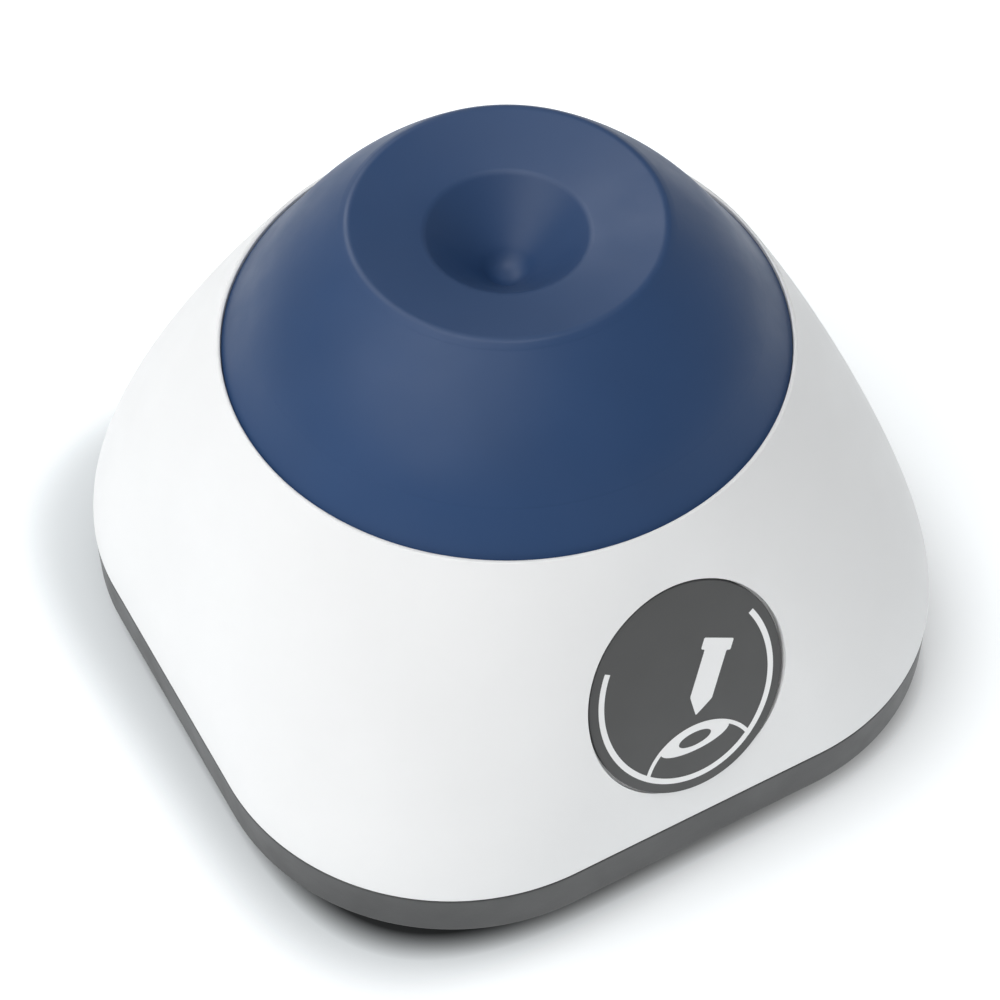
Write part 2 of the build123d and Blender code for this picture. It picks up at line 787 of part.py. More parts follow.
# ---------------------------------------------------------------- rotor
core_bottom = 23.0
core_height = 13.5
core_radius = 9.4
shaft_bottom = cap_bottom + 0.4
shaft_top = hub_top - 0.8
with BuildPart() as motor_shaft:
    with BuildSketch(Plane.XY.offset(shaft_bottom)):
        Circle(shaft_radius)
    extrude(amount=shaft_top - shaft_bottom)
    chamfer(motor_shaft.edges().group_by(Axis.Z)[-1], 0.3)
save(motor_shaft, "motor_shaft")

with BuildPart() as armature_core:
    with BuildSketch(Plane.XY.offset(core_bottom)):
        Circle(core_radius)
        with PolarLocations(6.4, 5):
            Rectangle(4.2, 4.0, mode=Mode.SUBTRACT)
        with PolarLocations(8.5, 5):
            Rectangle(3.0, 1.4, mode=Mode.SUBTRACT)
        Circle(shaft_radius, mode=Mode.SUBTRACT)
    extrude(amount=core_height)
save(armature_core, "armature_core")

with BuildPart() as armature_winding:
    with BuildSketch(Plane.XY.offset(core_bottom - 2.0)):
        with PolarLocations(6.4, 5):
            Rectangle(3.9, 3.7)
    extrude(amount=core_height + 4.0)
    for ring_bottom in (core_bottom - 2.0, core_bottom + core_height):
        with BuildSketch(Plane.XY.offset(ring_bottom)):
            Circle(8.4)
            Circle(3.0, mode=Mode.SUBTRACT)
        extrude(amount=2.0)
save(armature_winding, "armature_winding")

with BuildPart() as commutator:
    with BuildSketch(Plane.XY.offset(commutator_bottom)):
        Circle(commutator_radius)
        Circle(shaft_radius, mode=Mode.SUBTRACT)
    extrude(amount=commutator_height)
save(commutator, "commutator")

hub_plane = Plane(
    origin=(0, 0, hub_bottom),
    x_dir=(cos(radians(eccentric_angle)), sin(radians(eccentric_angle)), 0),
    z_dir=(0, 0, 1),
)
grub_plane = Plane(
    origin=(0, 0, hub_bottom + 2.0),
    z_dir=(cos(radians(eccentric_angle)), sin(radians(eccentric_angle)), 0),
)
weight_radius = 19.0
weight_ring = 9.5
weight_height = 4.0
grub_radius = 1.5

with BuildPart() as eccentric_hub:
    with BuildSketch(hub_plane):
        Circle(hub_radius)
    extrude(amount=hub_top - hub_bottom)
    with BuildSketch(hub_plane.offset(hub_top - hub_bottom)):
        with Locations((orbit_radius, 0)):
            Circle(inner_ring_radius - 0.2)
    extrude(amount=bearing_bottom - hub_top)
    with BuildSketch(hub_plane.offset(bearing_bottom - hub_bottom)):
        with Locations((orbit_radius, 0)):
            Circle(pin_radius)
    extrude(amount=bearing_width - 0.1)
    with BuildSketch(hub_plane):
        Circle(shaft_radius)
    extrude(amount=shaft_top - hub_bottom, mode=Mode.SUBTRACT)
    with BuildSketch(grub_plane):
        Circle(grub_radius)
    extrude(amount=hub_radius + 1, mode=Mode.SUBTRACT)
    with BuildSketch(hub_plane.offset(bearing_top - hub_bottom)):
        with Locations((orbit_radius, 0)):
            Circle(m25["hole"])
    extrude(amount=-5.0, mode=Mode.SUBTRACT)
save(eccentric_hub, "eccentric_hub")

with BuildPart() as counterweight:
    with BuildSketch(hub_plane):
        Circle(weight_radius)
        with Locations((weight_radius, 0)):
            Rectangle(2 * weight_radius, 3 * weight_radius, mode=Mode.SUBTRACT)
        Circle(weight_ring)
        Circle(hub_radius, mode=Mode.SUBTRACT)
    extrude(amount=weight_height)
    with BuildSketch(grub_plane):
        Circle(grub_radius)
    extrude(amount=weight_ring + 1, mode=Mode.SUBTRACT)
save(counterweight, "counterweight")

with BuildPart() as hub_set_screw:
    with BuildSketch(grub_plane.offset(shaft_radius + 0.02)):
        Circle(grub_radius)
    extrude(amount=6.0)
    with BuildSketch(grub_plane.offset(shaft_radius + 6.02)):
        RegularPolygon(0.8, 6)
    extrude(amount=-2.0, mode=Mode.SUBTRACT)
save(hub_set_screw, "hub_set_screw")

ball_height = (bearing_bottom + bearing_top) / 2


def bearing_ring(bore, rim):
    """One ring of the cup's bearing, with the groove that its balls run in."""
    with BuildPart() as ring:
        with BuildSketch(cup_section):
            with Locations(((bore + rim) / 2, ball_height)):
                Rectangle(rim - bore, bearing_width)
            with Locations((ball_pitch, ball_height)):
                Circle(ball_radius + running, mode=Mode.SUBTRACT)
        revolve(axis=cup_axis)
    return ring


bearing_inner_ring = bearing_ring(pin_radius, inner_ring_radius)
save(bearing_inner_ring, "bearing_inner_ring")
bearing_outer_ring = bearing_ring(outer_ring_bore, outer_ring_radius)
save(bearing_outer_ring, "bearing_outer_ring")

with BuildPart(Plane(origin=(eccentric_x, eccentric_y, ball_height))) as bearing_balls:
    with PolarLocations(ball_pitch, 7):
        Sphere(ball_radius)
save(bearing_balls, "bearing_balls")

washer_thickness = 0.5
with BuildPart() as bearing_washer:
    with BuildSketch(Plane.XY.offset(bearing_top)):
        with Locations((eccentric_x, eccentric_y)):
            Circle(inner_ring_radius - 0.1)
            Circle(m25["hole"], mode=Mode.SUBTRACT)
    extrude(amount=washer_thickness)
save(bearing_washer, "bearing_washer")

low_head = dict(m25, head_height=1.4)
bearing_screw = pan_screws(
    [(eccentric_x, eccentric_y)], bearing_top + washer_thickness, low_head, 5.0, -1
)
save(bearing_screw, "bearing_screw")

# ---------------------------------------------------------------- cup holder
holder_bottom = bearing_bottom
holder_hub_radius = 10.0
with BuildPart() as cup_holder:
    with BuildSketch(cup_section):
        with BuildLine():
            Polyline(
                (outer_ring_radius, holder_bottom),
                (holder_hub_radius, holder_bottom),
                (holder_hub_radius, holder_floor_bottom - 1.5),
                (holder_radius, holder_floor_bottom),
                (holder_radius, holder_top),
                (holder_bore, holder_top),
                (holder_bore, holder_floor_top),
                (0, holder_floor_top),
                (0, holder_floor_bottom),
                (outer_ring_bore - 0.4, holder_floor_bottom),
                (outer_ring_bore - 0.4, bearing_top),
                (outer_ring_radius, bearing_top),
                close=True,
            )
        make_face()
    revolve(axis=cup_axis)
save(cup_holder, "cup_holder")
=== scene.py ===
import json
from math import cos, pi, radians, sin, sqrt

import bmesh
import bpy
import numpy as np
from mathutils import Matrix, Vector


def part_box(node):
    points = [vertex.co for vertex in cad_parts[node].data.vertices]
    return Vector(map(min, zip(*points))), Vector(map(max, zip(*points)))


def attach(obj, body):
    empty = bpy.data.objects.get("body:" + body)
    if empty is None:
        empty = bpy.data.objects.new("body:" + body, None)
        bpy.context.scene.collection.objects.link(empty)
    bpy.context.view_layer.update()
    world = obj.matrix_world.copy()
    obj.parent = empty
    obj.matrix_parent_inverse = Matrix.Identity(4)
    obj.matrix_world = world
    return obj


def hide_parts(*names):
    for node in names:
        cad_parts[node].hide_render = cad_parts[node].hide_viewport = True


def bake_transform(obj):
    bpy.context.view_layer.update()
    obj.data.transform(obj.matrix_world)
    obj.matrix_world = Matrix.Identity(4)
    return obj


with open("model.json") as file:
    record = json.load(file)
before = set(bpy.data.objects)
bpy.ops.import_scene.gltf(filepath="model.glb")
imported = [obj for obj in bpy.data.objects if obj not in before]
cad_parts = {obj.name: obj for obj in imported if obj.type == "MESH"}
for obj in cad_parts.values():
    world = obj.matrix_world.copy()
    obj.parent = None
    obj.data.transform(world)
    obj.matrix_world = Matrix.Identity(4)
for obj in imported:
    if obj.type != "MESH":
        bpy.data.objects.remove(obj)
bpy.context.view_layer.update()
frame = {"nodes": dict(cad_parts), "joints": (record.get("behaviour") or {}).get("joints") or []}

# ------------------------------------------------------------------ sizes, in metres
MM = 0.001
SEGMENTS = 384
QUARTER_TURN = [pi / 2 * step / 4 for step in range(5)]
HALF_TURN = [pi * step / 8 for step in range(9)]

shell_low, shell_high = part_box("upper_housing")
tray_low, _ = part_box("base_tray")
bell_low, bell_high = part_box("silicone_bell")
half_width = shell_high.x
seam = shell_low.z
opening_height = shell_high.z
tray_bottom = tray_low.z
crease_height = bell_high.z
joint_places = {joint["name"]: joint.get("pos_m") for joint in frame["joints"]}
cup_x, cup_y, _ = joint_places["cup_orbit"]

WALL = 2.4 * MM
BASE_CORNER = 32.1 * MM
BAND_BOTTOM = 6.0 * MM
UNDERSIDE_INSET = 6.5 * MM
TRAY_FLOOR = 2.5 * MM
OPENING_RADIUS = 35.3 * MM
OPENING_LIP = 0.35 * MM
WALL_RISE = 8.75 * MM
OPENING_LEAN = 6.9 * MM
OPENING_DROP = 11.4 * MM
COLLAR_SHARE = 0.65
ROUNDEST = 0.985
ROUNDING_POWER = 1.7
CASE_SCREW = 35.0 * MM
INLET_HEIGHT = 19.1 * MM

shell_outline = (
    (half_width, seam),
    (half_width, seam + WALL_RISE),
    (OPENING_RADIUS + OPENING_LIP + OPENING_LEAN, opening_height - OPENING_DROP),
    (OPENING_RADIUS + OPENING_LIP, opening_height),
)


# ------------------------------------------------------------------ mesh helpers
def bezier(t, points):
    """The point at share t of a cubic curve with these four control points."""
    rest = 1 - t
    weights = (rest**3, 3 * rest**2 * t, 3 * rest * t**2, t**3)
    return tuple(sum(weight * point[i] for weight, point in zip(weights, points)) for i in range(2))


def share_at(height, outline):
    """The share of a rising outline at a height, found by halving."""
    low, high = 0.0, 1.0
    for _ in range(40):
        middle = (low + high) / 2
        if bezier(middle, outline)[1] < height:
            low = middle
        else:
            high = middle
    return low


def straight(start, end, count):
    """The points that cut a line into count equal parts, without its ends."""
    return [
        (start[0] + (end[0] - start[0]) * k / count, start[1] + (end[1] - start[1]) * k / count)
        for k in range(1, count)
    ]


def round_corner(before, corner, after, radius, steps=8):
    """Points of a short curve that rounds a corner of an outline."""
    corner = Vector(corner)
    a = corner + (Vector(before) - corner).normalized() * radius
    b = corner + (Vector(after) - corner).normalized() * radius
    points = []
    for k in range(steps + 1):
        t = k / steps
        point = a * (1 - t) ** 2 + corner * 2 * t * (1 - t) + b * t**2
        points.append((point.x, point.y))
    return points


def new_object(name, vertices, faces):
    """A mesh object with outward faces and smooth shading, sharp where it turns a corner."""
    mesh = bpy.data.meshes.new(name)
    mesh.from_pydata([tuple(v) for v in vertices], [], faces)
    obj = bpy.data.objects.new(name, mesh)
    bpy.context.scene.collection.objects.link(obj)
    tidy_normals(obj)
    return obj


def tidy_normals(obj, sharp_degrees=35.0):
    """Point the faces outward and mark as sharp the edges that turn more than sharp_degrees."""
    bm = bmesh.new()
    bm.from_mesh(obj.data)
    bmesh.ops.recalc_face_normals(bm, faces=bm.faces)
    for face in bm.faces:
        face.smooth = True
    for edge in bm.edges:
        turned = len(edge.link_faces) == 2 and edge.calc_face_angle(0.0) > radians(sharp_degrees)
        edge.smooth = not turned
    bm.to_mesh(obj.data)
    bm.free()


def rounded_square(half, corner):
    """Distance from the axis to a rounded square's outline, at each of SEGMENTS directions."""
    directions = np.arange(SEGMENTS) * 2 * pi / SEGMENTS
    folded = np.abs((directions + pi / 4) % (pi / 2) - pi / 4)
    inner = half - corner
    flat = half / np.cos(folded)
    span = np.cos(folded) + np.sin(folded)
    difference = np.cos(folded) - np.sin(folded)
    arc = inner * span + np.sqrt(np.maximum(corner**2 - (inner * difference) ** 2, 0))
    return np.where(half * np.tan(folded) <= inner, flat, arc)


def ring(radii, height, centre=(0.0, 0.0)):
    """SEGMENTS points round the centre at these radii, or at one radius."""
    directions = np.arange(SEGMENTS) * 2 * pi / SEGMENTS
    radii = np.broadcast_to(radii, SEGMENTS)
    x = centre[0] + radii * np.cos(directions)
    y = centre[1] + radii * np.sin(directions)
    return np.stack([x, y, np.full(SEGMENTS, height)], axis=1)


def skin(name, rings, closed=False):
    """Faces between successive rings. Closed joins last to first, else both ends get a pole."""
    vertices = [tuple(point) for one in rings for point in one]
    faces = []
    pairs = list(zip(range(len(rings)), range(1, len(rings))))
    if closed:
        pairs.append((len(rings) - 1, 0))
    for a, b in pairs:
        for i in range(SEGMENTS):
            j = (i + 1) % SEGMENTS
            faces.append((a * SEGMENTS + i, a * SEGMENTS + j, b * SEGMENTS + j, b * SEGMENTS + i))
    if not closed:
        for end in (0, len(rings) - 1):
            pole = len(vertices)
            vertices.append(tuple(np.mean(rings[end], axis=0)))
            for i in range(SEGMENTS):
                j = (i + 1) % SEGMENTS
                faces.append((end * SEGMENTS + i, end * SEGMENTS + j, pole))
    return new_object(name, vertices, faces)


def rods(name, specs, sides=48):
    """One mesh of upright cylinders, each given as (x, y, low, high, radius)."""
    bm = bmesh.new()
    for x, y, low, high, radius in specs:
        bmesh.ops.create_cone(
            bm,
            cap_ends=True,
            segments=sides,
            radius1=radius,
            radius2=radius,
            depth=high - low,
            matrix=Matrix.Translation((x, y, (low + high) / 2)),
        )
    mesh = bpy.data.meshes.new(name)
    bm.to_mesh(mesh)
    bm.free()
    obj = bpy.data.objects.new(name, mesh)
    bpy.context.scene.collection.objects.link(obj)
    return obj


def combine(obj, tool, operation):
    """Cut tool from obj, or join it on, and remove tool."""
    modifier = obj.modifiers.new(operation, "BOOLEAN")
    modifier.operation = operation
    modifier.solver = "EXACT"
    modifier.object = tool
    graph = bpy.context.evaluated_depsgraph_get()
    result = bpy.data.meshes.new_from_object(obj.evaluated_get(graph))
    obj.modifiers.clear()
    old = obj.data
    obj.data = result
    bpy.data.meshes.remove(old)
    bpy.data.objects.remove(tool)
    tidy_normals(obj)


def corners(spacing_x, spacing_y):
    """The four sites at plus and minus these distances from the middle."""
    return [(x, y) for x in (-spacing_x, spacing_x) for y in (-spacing_y, spacing_y)]


def upright(sites, low, high, radius):
    """A cylinder for rods at each of these sites."""
    return [(x, y, low, high, radius) for x, y in sites]


case_sites = corners(CASE_SCREW, CASE_SCREW)


# ------------------------------------------------------------------ materials
NOISE_RANGE = (0.3, 0.7)
ROUGHNESS_SPREAD = 0.05
GLOSS_SCALE = 3.1
GRAIN_STRENGTH = 0.35
GRAIN_DETAIL = 2.0
COAT_ROUGHNESS = 0.1


def map_range(tree, source, reach, result, interpolation="LINEAR"):
    """A node that maps the range called reach to the range called result."""
    node = tree.nodes.new("ShaderNodeMapRange")
    node.interpolation_type = interpolation
    node.inputs["From Min"].default_value = reach[0]
    node.inputs["From Max"].default_value = reach[1]
    node.inputs["To Min"].default_value = result[0]
    node.inputs["To Max"].default_value = result[1]
    tree.links.new(source, node.inputs["Value"])
    return node.outputs["Result"]


def calculate(tree, operation, *terms):
    """A math node. Its terms are numbers or the outputs of other nodes."""
    node = tree.nodes.new("ShaderNodeMath")
    node.operation = operation
    for socket, term in zip(node.inputs, terms):
        if isinstance(term, bpy.types.NodeSocket):
            tree.links.new(term, socket)
        else:
            socket.default_value = term
    return node.outputs["Value"]


def noise(tree, scale, detail=3.0, stretch=(1, 1, 1)):
    """Noise over the object's own coordinates, scale being waves per metre."""
    place = tree.nodes.new("ShaderNodeTexCoord")
    mapping = tree.nodes.new("ShaderNodeMapping")
    mapping.inputs["Scale"].default_value = stretch
    texture = tree.nodes.new("ShaderNodeTexNoise")
    texture.inputs["Scale"].default_value = scale
    texture.inputs["Detail"].default_value = detail
    tree.links.new(place.outputs["Object"], mapping.inputs["Vector"])
    tree.links.new(mapping.outputs["Vector"], texture.inputs["Vector"])
    return texture.outputs["Fac"]


def finish(
    name,
    colour,
    roughness,
    metallic=0.0,
    shade=0.06,
    mottle_scale=60.0,
    grain_scale=2500.0,
    grain_depth=0.004,
    stretch=(1, 1, 1),
    specular=0.5,
    coat=0.0,
):
    """A material with slow colour variation, uneven gloss and fine surface grain.

    Scales are waves per metre. grain_depth is in millimetres.
    """
    material = bpy.data.materials.new(name)
    material.use_nodes = True
    tree = material.node_tree
    shader = tree.nodes["Principled BSDF"]
    shader.inputs["Metallic"].default_value = metallic
    shader.inputs["Specular IOR Level"].default_value = specular
    shader.inputs["Coat Weight"].default_value = coat
    shader.inputs["Coat Roughness"].default_value = COAT_ROUGHNESS
    mottle = noise(tree, mottle_scale, stretch=stretch)
    mix = tree.nodes.new("ShaderNodeMix")
    mix.data_type = "RGBA"
    mix.inputs["A"].default_value = (*[c * (1 - shade) for c in colour], 1)
    mix.inputs["B"].default_value = (*[min(c * (1 + shade), 1) for c in colour], 1)
    tree.links.new(map_range(tree, mottle, NOISE_RANGE, (0.0, 1.0)), mix.inputs["Factor"])
    tree.links.new(mix.outputs["Result"], shader.inputs["Base Color"])
    gloss = noise(tree, mottle_scale * GLOSS_SCALE, stretch=stretch)
    spread = (roughness - ROUGHNESS_SPREAD, roughness + ROUGHNESS_SPREAD)
    tree.links.new(map_range(tree, gloss, NOISE_RANGE, spread), shader.inputs["Roughness"])
    grain = noise(tree, grain_scale, detail=GRAIN_DETAIL, stretch=stretch)
    bump = tree.nodes.new("ShaderNodeBump")
    bump.inputs["Strength"].default_value = GRAIN_STRENGTH
    bump.inputs["Distance"].default_value = grain_depth * MM
    tree.links.new(grain, bump.inputs["Height"])
    tree.links.new(bump.outputs["Normal"], shader.inputs["Normal"])
    return material


def dress(obj, material):
    """Give the whole object one material."""
    obj.data.materials.clear()
    obj.data.materials.append(material)


white_plastic = finish(
    "white_plastic", (0.79, 0.79, 0.79), 0.42, shade=0.012, grain_depth=0.02, grain_scale=900.0
)
dark_plastic = finish("dark_plastic", (0.042, 0.042, 0.0422), 0.42, shade=0.05, grain_depth=0.03)
blue_silicone = finish(
    "blue_silicone",
    (0.017, 0.050, 0.134),
    0.46,
    specular=0.3,
    shade=0.05,
    mottle_scale=45.0,
    grain_depth=0.02,
    grain_scale=1400.0,
)
badge_plastic = finish("badge_plastic", (0.062, 0.062, 0.062), 0.5, shade=0.03, grain_depth=0.01)
print_ink = finish("print_ink", (0.85, 0.85, 0.85), 0.5, shade=0.02, grain_depth=0.004)
foot_rubber = finish(
    "foot_rubber", (0.02, 0.02, 0.02), 0.75, shade=0.15, grain_depth=0.06, grain_scale=1200.0
)
zinc = finish("zinc_plate", (0.62, 0.62, 0.60), 0.32, metallic=1.0, shade=0.08, mottle_scale=300.0)
steel = finish("turned_steel", (0.58, 0.58, 0.60), 0.26, metallic=1.0, shade=0.05, stretch=(1, 1, 12))
spring_steel = finish("spring_steel", (0.42, 0.42, 0.44), 0.3, metallic=1.0, shade=0.06)
black_paint = finish(
    "black_paint", (0.03, 0.03, 0.03), 0.55, shade=0.12, grain_depth=0.05, grain_scale=900.0
)
grey_nylon = finish("grey_nylon", (0.16, 0.165, 0.17), 0.55, shade=0.06, grain_depth=0.03)
black_abs = finish("black_abs", (0.016, 0.016, 0.017), 0.42, shade=0.08, grain_depth=0.02)
natural_nylon = finish("natural_nylon", (0.72, 0.69, 0.60), 0.48, shade=0.04, grain_depth=0.02)
brass = finish("turned_brass", (0.72, 0.50, 0.20), 0.28, metallic=1.0, shade=0.06, stretch=(1, 1, 12))
bronze = finish("sintered_bronze", (0.46, 0.28, 0.13), 0.5, metallic=1.0, shade=0.12, grain_depth=0.05)
copper = finish("enamelled_copper", (0.62, 0.22, 0.09), 0.3, metallic=1.0, shade=0.15, stretch=(1, 1, 25))
board = finish("board_laminate", (0.012, 0.12, 0.04), 0.3, shade=0.25, mottle_scale=350.0, coat=0.3)
ferrite = finish("ferrite", (0.05, 0.05, 0.055), 0.6, shade=0.15, grain_depth=0.05)
laminations = finish("laminations", (0.32, 0.33, 0.35), 0.38, metallic=1.0, shade=0.25, stretch=(1, 1, 60))
graphite = finish("graphite", (0.03, 0.03, 0.032), 0.5, shade=0.15)
red_insulation = finish("lead_insulation", (0.35, 0.02, 0.02), 0.4, shade=0.05)

node_materials = {
    zinc: (
        "housing_screws",
        "ballast_screws",
        "post_screws",
        "clamp_screws",
        "board_screws",
        "motor_screws",
        "hub_set_screw",
        "bearing_screw",
    ),
    steel: (
        "guide_posts",
        "post_washers",
        "dc_jack_pin",
        "motor_can",
        "motor_shaft",
        "counterweight",
        "bearing_inner_ring",
        "bearing_balls",
        "bearing_washer",
        "bearing_outer_ring",
    ),
    foot_rubber: ("rubber_feet",),
    spring_steel: ("return_springs",),
    black_paint: ("ballast_plate",),
    grey_nylon: ("bell_clamp_ring", "motor_cradle", "cup_holder"),
    black_abs: ("board_capacitor", "board_chips", "dc_jack_body", "switch_body", "motor_end_cap"),
    natural_nylon: ("lead_header", "switch_plunger", "guide_bushes"),
    brass: ("switch_pins", "motor_terminals", "eccentric_hub"),
    bronze: ("motor_bushes",),
    copper: ("armature_winding", "commutator"),
    board: ("control_board",),
    ferrite: ("motor_magnets",),
    laminations: ("armature_core",),
    graphite: ("motor_brushes",),
    red_insulation: ("motor_leads",),
}
for material, names in node_materials.items():
    for node_name in names:
        dress(frame["nodes"][node_name], material)


# ------------------------------------------------------------------ white shell
_, collar_seat = bezier(COLLAR_SHARE, shell_outline)


def shell_corner(half, height):
    """Corner radius of the shell's section, which grows until the section is round."""
    share = (height - seam) / (opening_height - seam)
    base_share = BASE_CORNER / half_width
    return half * min(base_share + (1 - base_share) * max(share, 0) ** ROUNDING_POWER, ROUNDEST)


def shell_ring(t, inset=0.0):
    """The shell's section at share t of its outline, drawn in by inset."""
    half, height = bezier(t, shell_outline)
    return ring(rounded_square(half - inset, shell_corner(half, height) - inset), height)


BADGE_HEIGHT = 34.0 * MM
BADGE_TILT = radians(21.0)
BADGE_HALF_WIDTH = 13.4 * MM
BADGE_HALF_LENGTH = 14.9 * MM
BADGE_DEPTH = 0.5 * MM
BADGE_THICKNESS = 0.8 * MM
BADGE_GAP = 0.35 * MM
badge_back = -BADGE_DEPTH - BADGE_THICKNESS
badge_normal = Vector((0, -cos(BADGE_TILT), sin(BADGE_TILT)))
badge_across = Vector((1, 0, 0))
badge_up = badge_normal.cross(badge_across)
shell_half_width, _ = bezier(share_at(BADGE_HEIGHT, shell_outline), shell_outline)
badge_origin = Vector((0, -shell_half_width, BADGE_HEIGHT))


def badge_point(across, up, out):
    """A point of the badge's plane, out being the height above the shell's tangent plane."""
    return badge_origin + badge_across * across + badge_up * up + badge_normal * out


def oval_plug(name, levels, sides=256):
    """A solid with oval sections on the badge's plane. Levels are (out, growth) from the back."""
    vertices, faces = [], []
    for out, growth in levels:
        for i in range(sides):
            angle = 2 * pi * i / sides
            across = (BADGE_HALF_WIDTH + growth) * cos(angle)
            up = (BADGE_HALF_LENGTH + growth) * sin(angle)
            vertices.append(badge_point(across, up, out))
    for level in range(len(levels) - 1):
        for i in range(sides):
            j = (i + 1) % sides
            base = level * sides
            faces.append((base + i, base + j, base + sides + j, base + sides + i))
    faces.append(tuple(range(sides)))
    last = (len(levels) - 1) * sides
    faces.append(tuple(last + i for i in range(sides)))
    return new_object(name, vertices, faces)


def make_shell():
    """The white shell: outer face, rolled lip, opening, collar seat, cavity and foot."""
    foot_round = 0.35 * MM
    lip_round = 0.12 * MM
    outer_rows, cavity_rows = 56, 16
    first_share, last_share = 0.001, 0.998
    rings = []
    for angle in QUARTER_TURN:
        inset = foot_round * (1 - sin(angle))
        height = seam + foot_round * (1 - cos(angle))
        rings.append(ring(rounded_square(half_width - inset, BASE_CORNER - inset), height))
    for step in range(1, outer_rows):
        rings.append(shell_ring(first_share + (last_share - first_share) * step / outer_rows))
    lip_base = opening_height - lip_round
    outer = np.linalg.norm(shell_ring(last_share)[:, :2], axis=1)
    for angle in HALF_TURN:
        middle = (outer + OPENING_RADIUS) / 2
        radii = middle + (outer - OPENING_RADIUS) / 2 * cos(angle)
        rings.append(ring(radii, lip_base + lip_round * sin(angle)))
    rings.append(ring(OPENING_RADIUS, (lip_base + collar_seat) / 2))
    rings.append(ring(OPENING_RADIUS, collar_seat))
    for step in range(cavity_rows + 1):
        rings.append(shell_ring(COLLAR_SHARE * (1 - step / cavity_rows), WALL))
    shell = skin("upper_shell", rings, closed=True)

    boss_radius, boss_length = 3.5 * MM, 13 * MM
    screw_radius, screw_depth = 1.5 * MM, 9 * MM
    clamp_radius, clamp_depth = 1.25 * MM, 5.5 * MM
    inlet_radius, inlet_length, inlet_depth = 4.6 * MM, 10 * MM, 7 * MM
    above_badge = 3 * MM
    clamp_site = 39.5 * MM / sqrt(2)
    clamp_sites = corners(clamp_site, clamp_site)
    bosses = upright(case_sites, seam, seam + boss_length, boss_radius)
    combine(shell, rods("bosses", bosses), "UNION")
    holes = upright(case_sites, seam - MM, seam + screw_depth, screw_radius)
    holes += upright(clamp_sites, collar_seat - MM, collar_seat + clamp_depth, clamp_radius)
    combine(shell, rods("screw_holes", holes), "DIFFERENCE")
    recess = oval_plug("recess", [(badge_back, BADGE_GAP), (above_badge, BADGE_GAP)])
    combine(shell, recess, "DIFFERENCE")
    inlet = rods("inlet", [(0, 0, 0, inlet_length, inlet_radius)], sides=96)
    inlet.data.transform(
        Matrix.Translation((0, half_width - inlet_depth, INLET_HEIGHT)) @ Matrix.Rotation(-pi / 2, 4, "X")
    )
    combine(shell, inlet, "DIFFERENCE")
    dress(shell, white_plastic)
    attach(shell, "base")
    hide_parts("upper_housing")


# ------------------------------------------------------------------ dark tray
def make_tray():
    """The tray: rounded foot edge, band, seam, tongue, floor, columns and screw pockets."""
    floor = tray_bottom + TRAY_FLOOR
    shoulder = BAND_BOTTOM + TRAY_FLOOR
    edge_round = 0.45 * MM
    seam_round = 0.2 * MM
    tongue_outer = WALL + 0.3 * MM
    tongue_inner = WALL + 1.3 * MM
    tongue_rise, tongue_root = 2 * MM, 4 * MM

    def tray_ring(inset, height):
        """The tray's section, drawn in by inset."""
        return ring(rounded_square(half_width - inset, BASE_CORNER - inset), height)

    rings = [tray_ring(share * half_width, tray_bottom) for share in (0.6, 0.3, 0.15)]
    rings.append(tray_ring(UNDERSIDE_INSET + 0.3 * MM, tray_bottom))
    drop = tray_bottom - BAND_BOTTOM
    under = [(share * UNDERSIDE_INSET, BAND_BOTTOM + share * drop) for share in (0.98, 0.6, 0.3)]
    rings += [tray_ring(inset, height) for inset, height in under]
    corner = round_corner(under[-1], (0, BAND_BOTTOM), (0, seam), edge_round)
    rings += [tray_ring(inset, height) for inset, height in corner]
    band_heights = np.linspace(BAND_BOTTOM + 2 * edge_round, seam - 0.5 * MM, 5)
    rings += [tray_ring(0, height) for height in band_heights]
    for angle in QUARTER_TURN:
        rings.append(tray_ring(seam_round * (1 - cos(angle)), seam - seam_round * (1 - sin(angle))))
    rings.append(tray_ring(tongue_outer, seam))
    rings.append(tray_ring(tongue_outer, seam + tongue_rise))
    rings.append(tray_ring(tongue_inner, seam + tongue_rise))
    rings.append(tray_ring(tongue_inner, seam - tongue_root))
    rings.append(tray_ring(WALL, seam - tongue_root))
    rings.append(tray_ring(WALL, shoulder))
    rings.append(tray_ring(WALL + UNDERSIDE_INSET, floor))
    rings += [tray_ring(share * half_width, floor) for share in (0.3, 0.6)]
    tray = skin("dark_tray", rings)

    column_radius, standoff_radius, standoff_top = 4 * MM, 2.6 * MM, 12 * MM
    clearance_radius, pilot_radius, pilot_bottom = 1.7 * MM, 1.25 * MM, 5 * MM
    head_radius, head_depth = 3.1 * MM, 3 * MM
    foot_radius, foot_depth = 6.1 * MM, 1.2 * MM
    ballast_radius, ballast_depth = 1.5 * MM, 2 * MM
    board_sites = [(x, y) for x in (-16 * MM, 16 * MM) for y in (28.5 * MM, 42.5 * MM)]
    foot_sites = corners(26 * MM, 26 * MM)
    ballast_sites = corners(34 * MM, 18 * MM)
    columns = upright(case_sites, floor - MM, seam, column_radius)
    columns += upright(board_sites, floor - MM, standoff_top, standoff_radius)
    combine(tray, rods("columns", columns), "UNION")
    holes = upright(case_sites, 0, seam + MM, clearance_radius)
    holes += upright(board_sites, pilot_bottom, standoff_top + MM, pilot_radius)
    combine(tray, rods("screw_holes", holes), "DIFFERENCE")
    pockets = upright(case_sites, 0, tray_bottom + head_depth, head_radius)
    pockets += upright(foot_sites, 0, tray_bottom + foot_depth, foot_radius)
    pockets += upright(ballast_sites, floor - ballast_depth, floor + MM, ballast_radius)
    combine(tray, rods("pockets", pockets, sides=96), "DIFFERENCE")
    dress(tray, dark_plastic)
    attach(tray, "base")
    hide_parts("base_tray")


# ------------------------------------------------------------------ badge
PRINT_SINK = 0.005 * MM
MERGE_DISTANCE = 0.0005 * MM


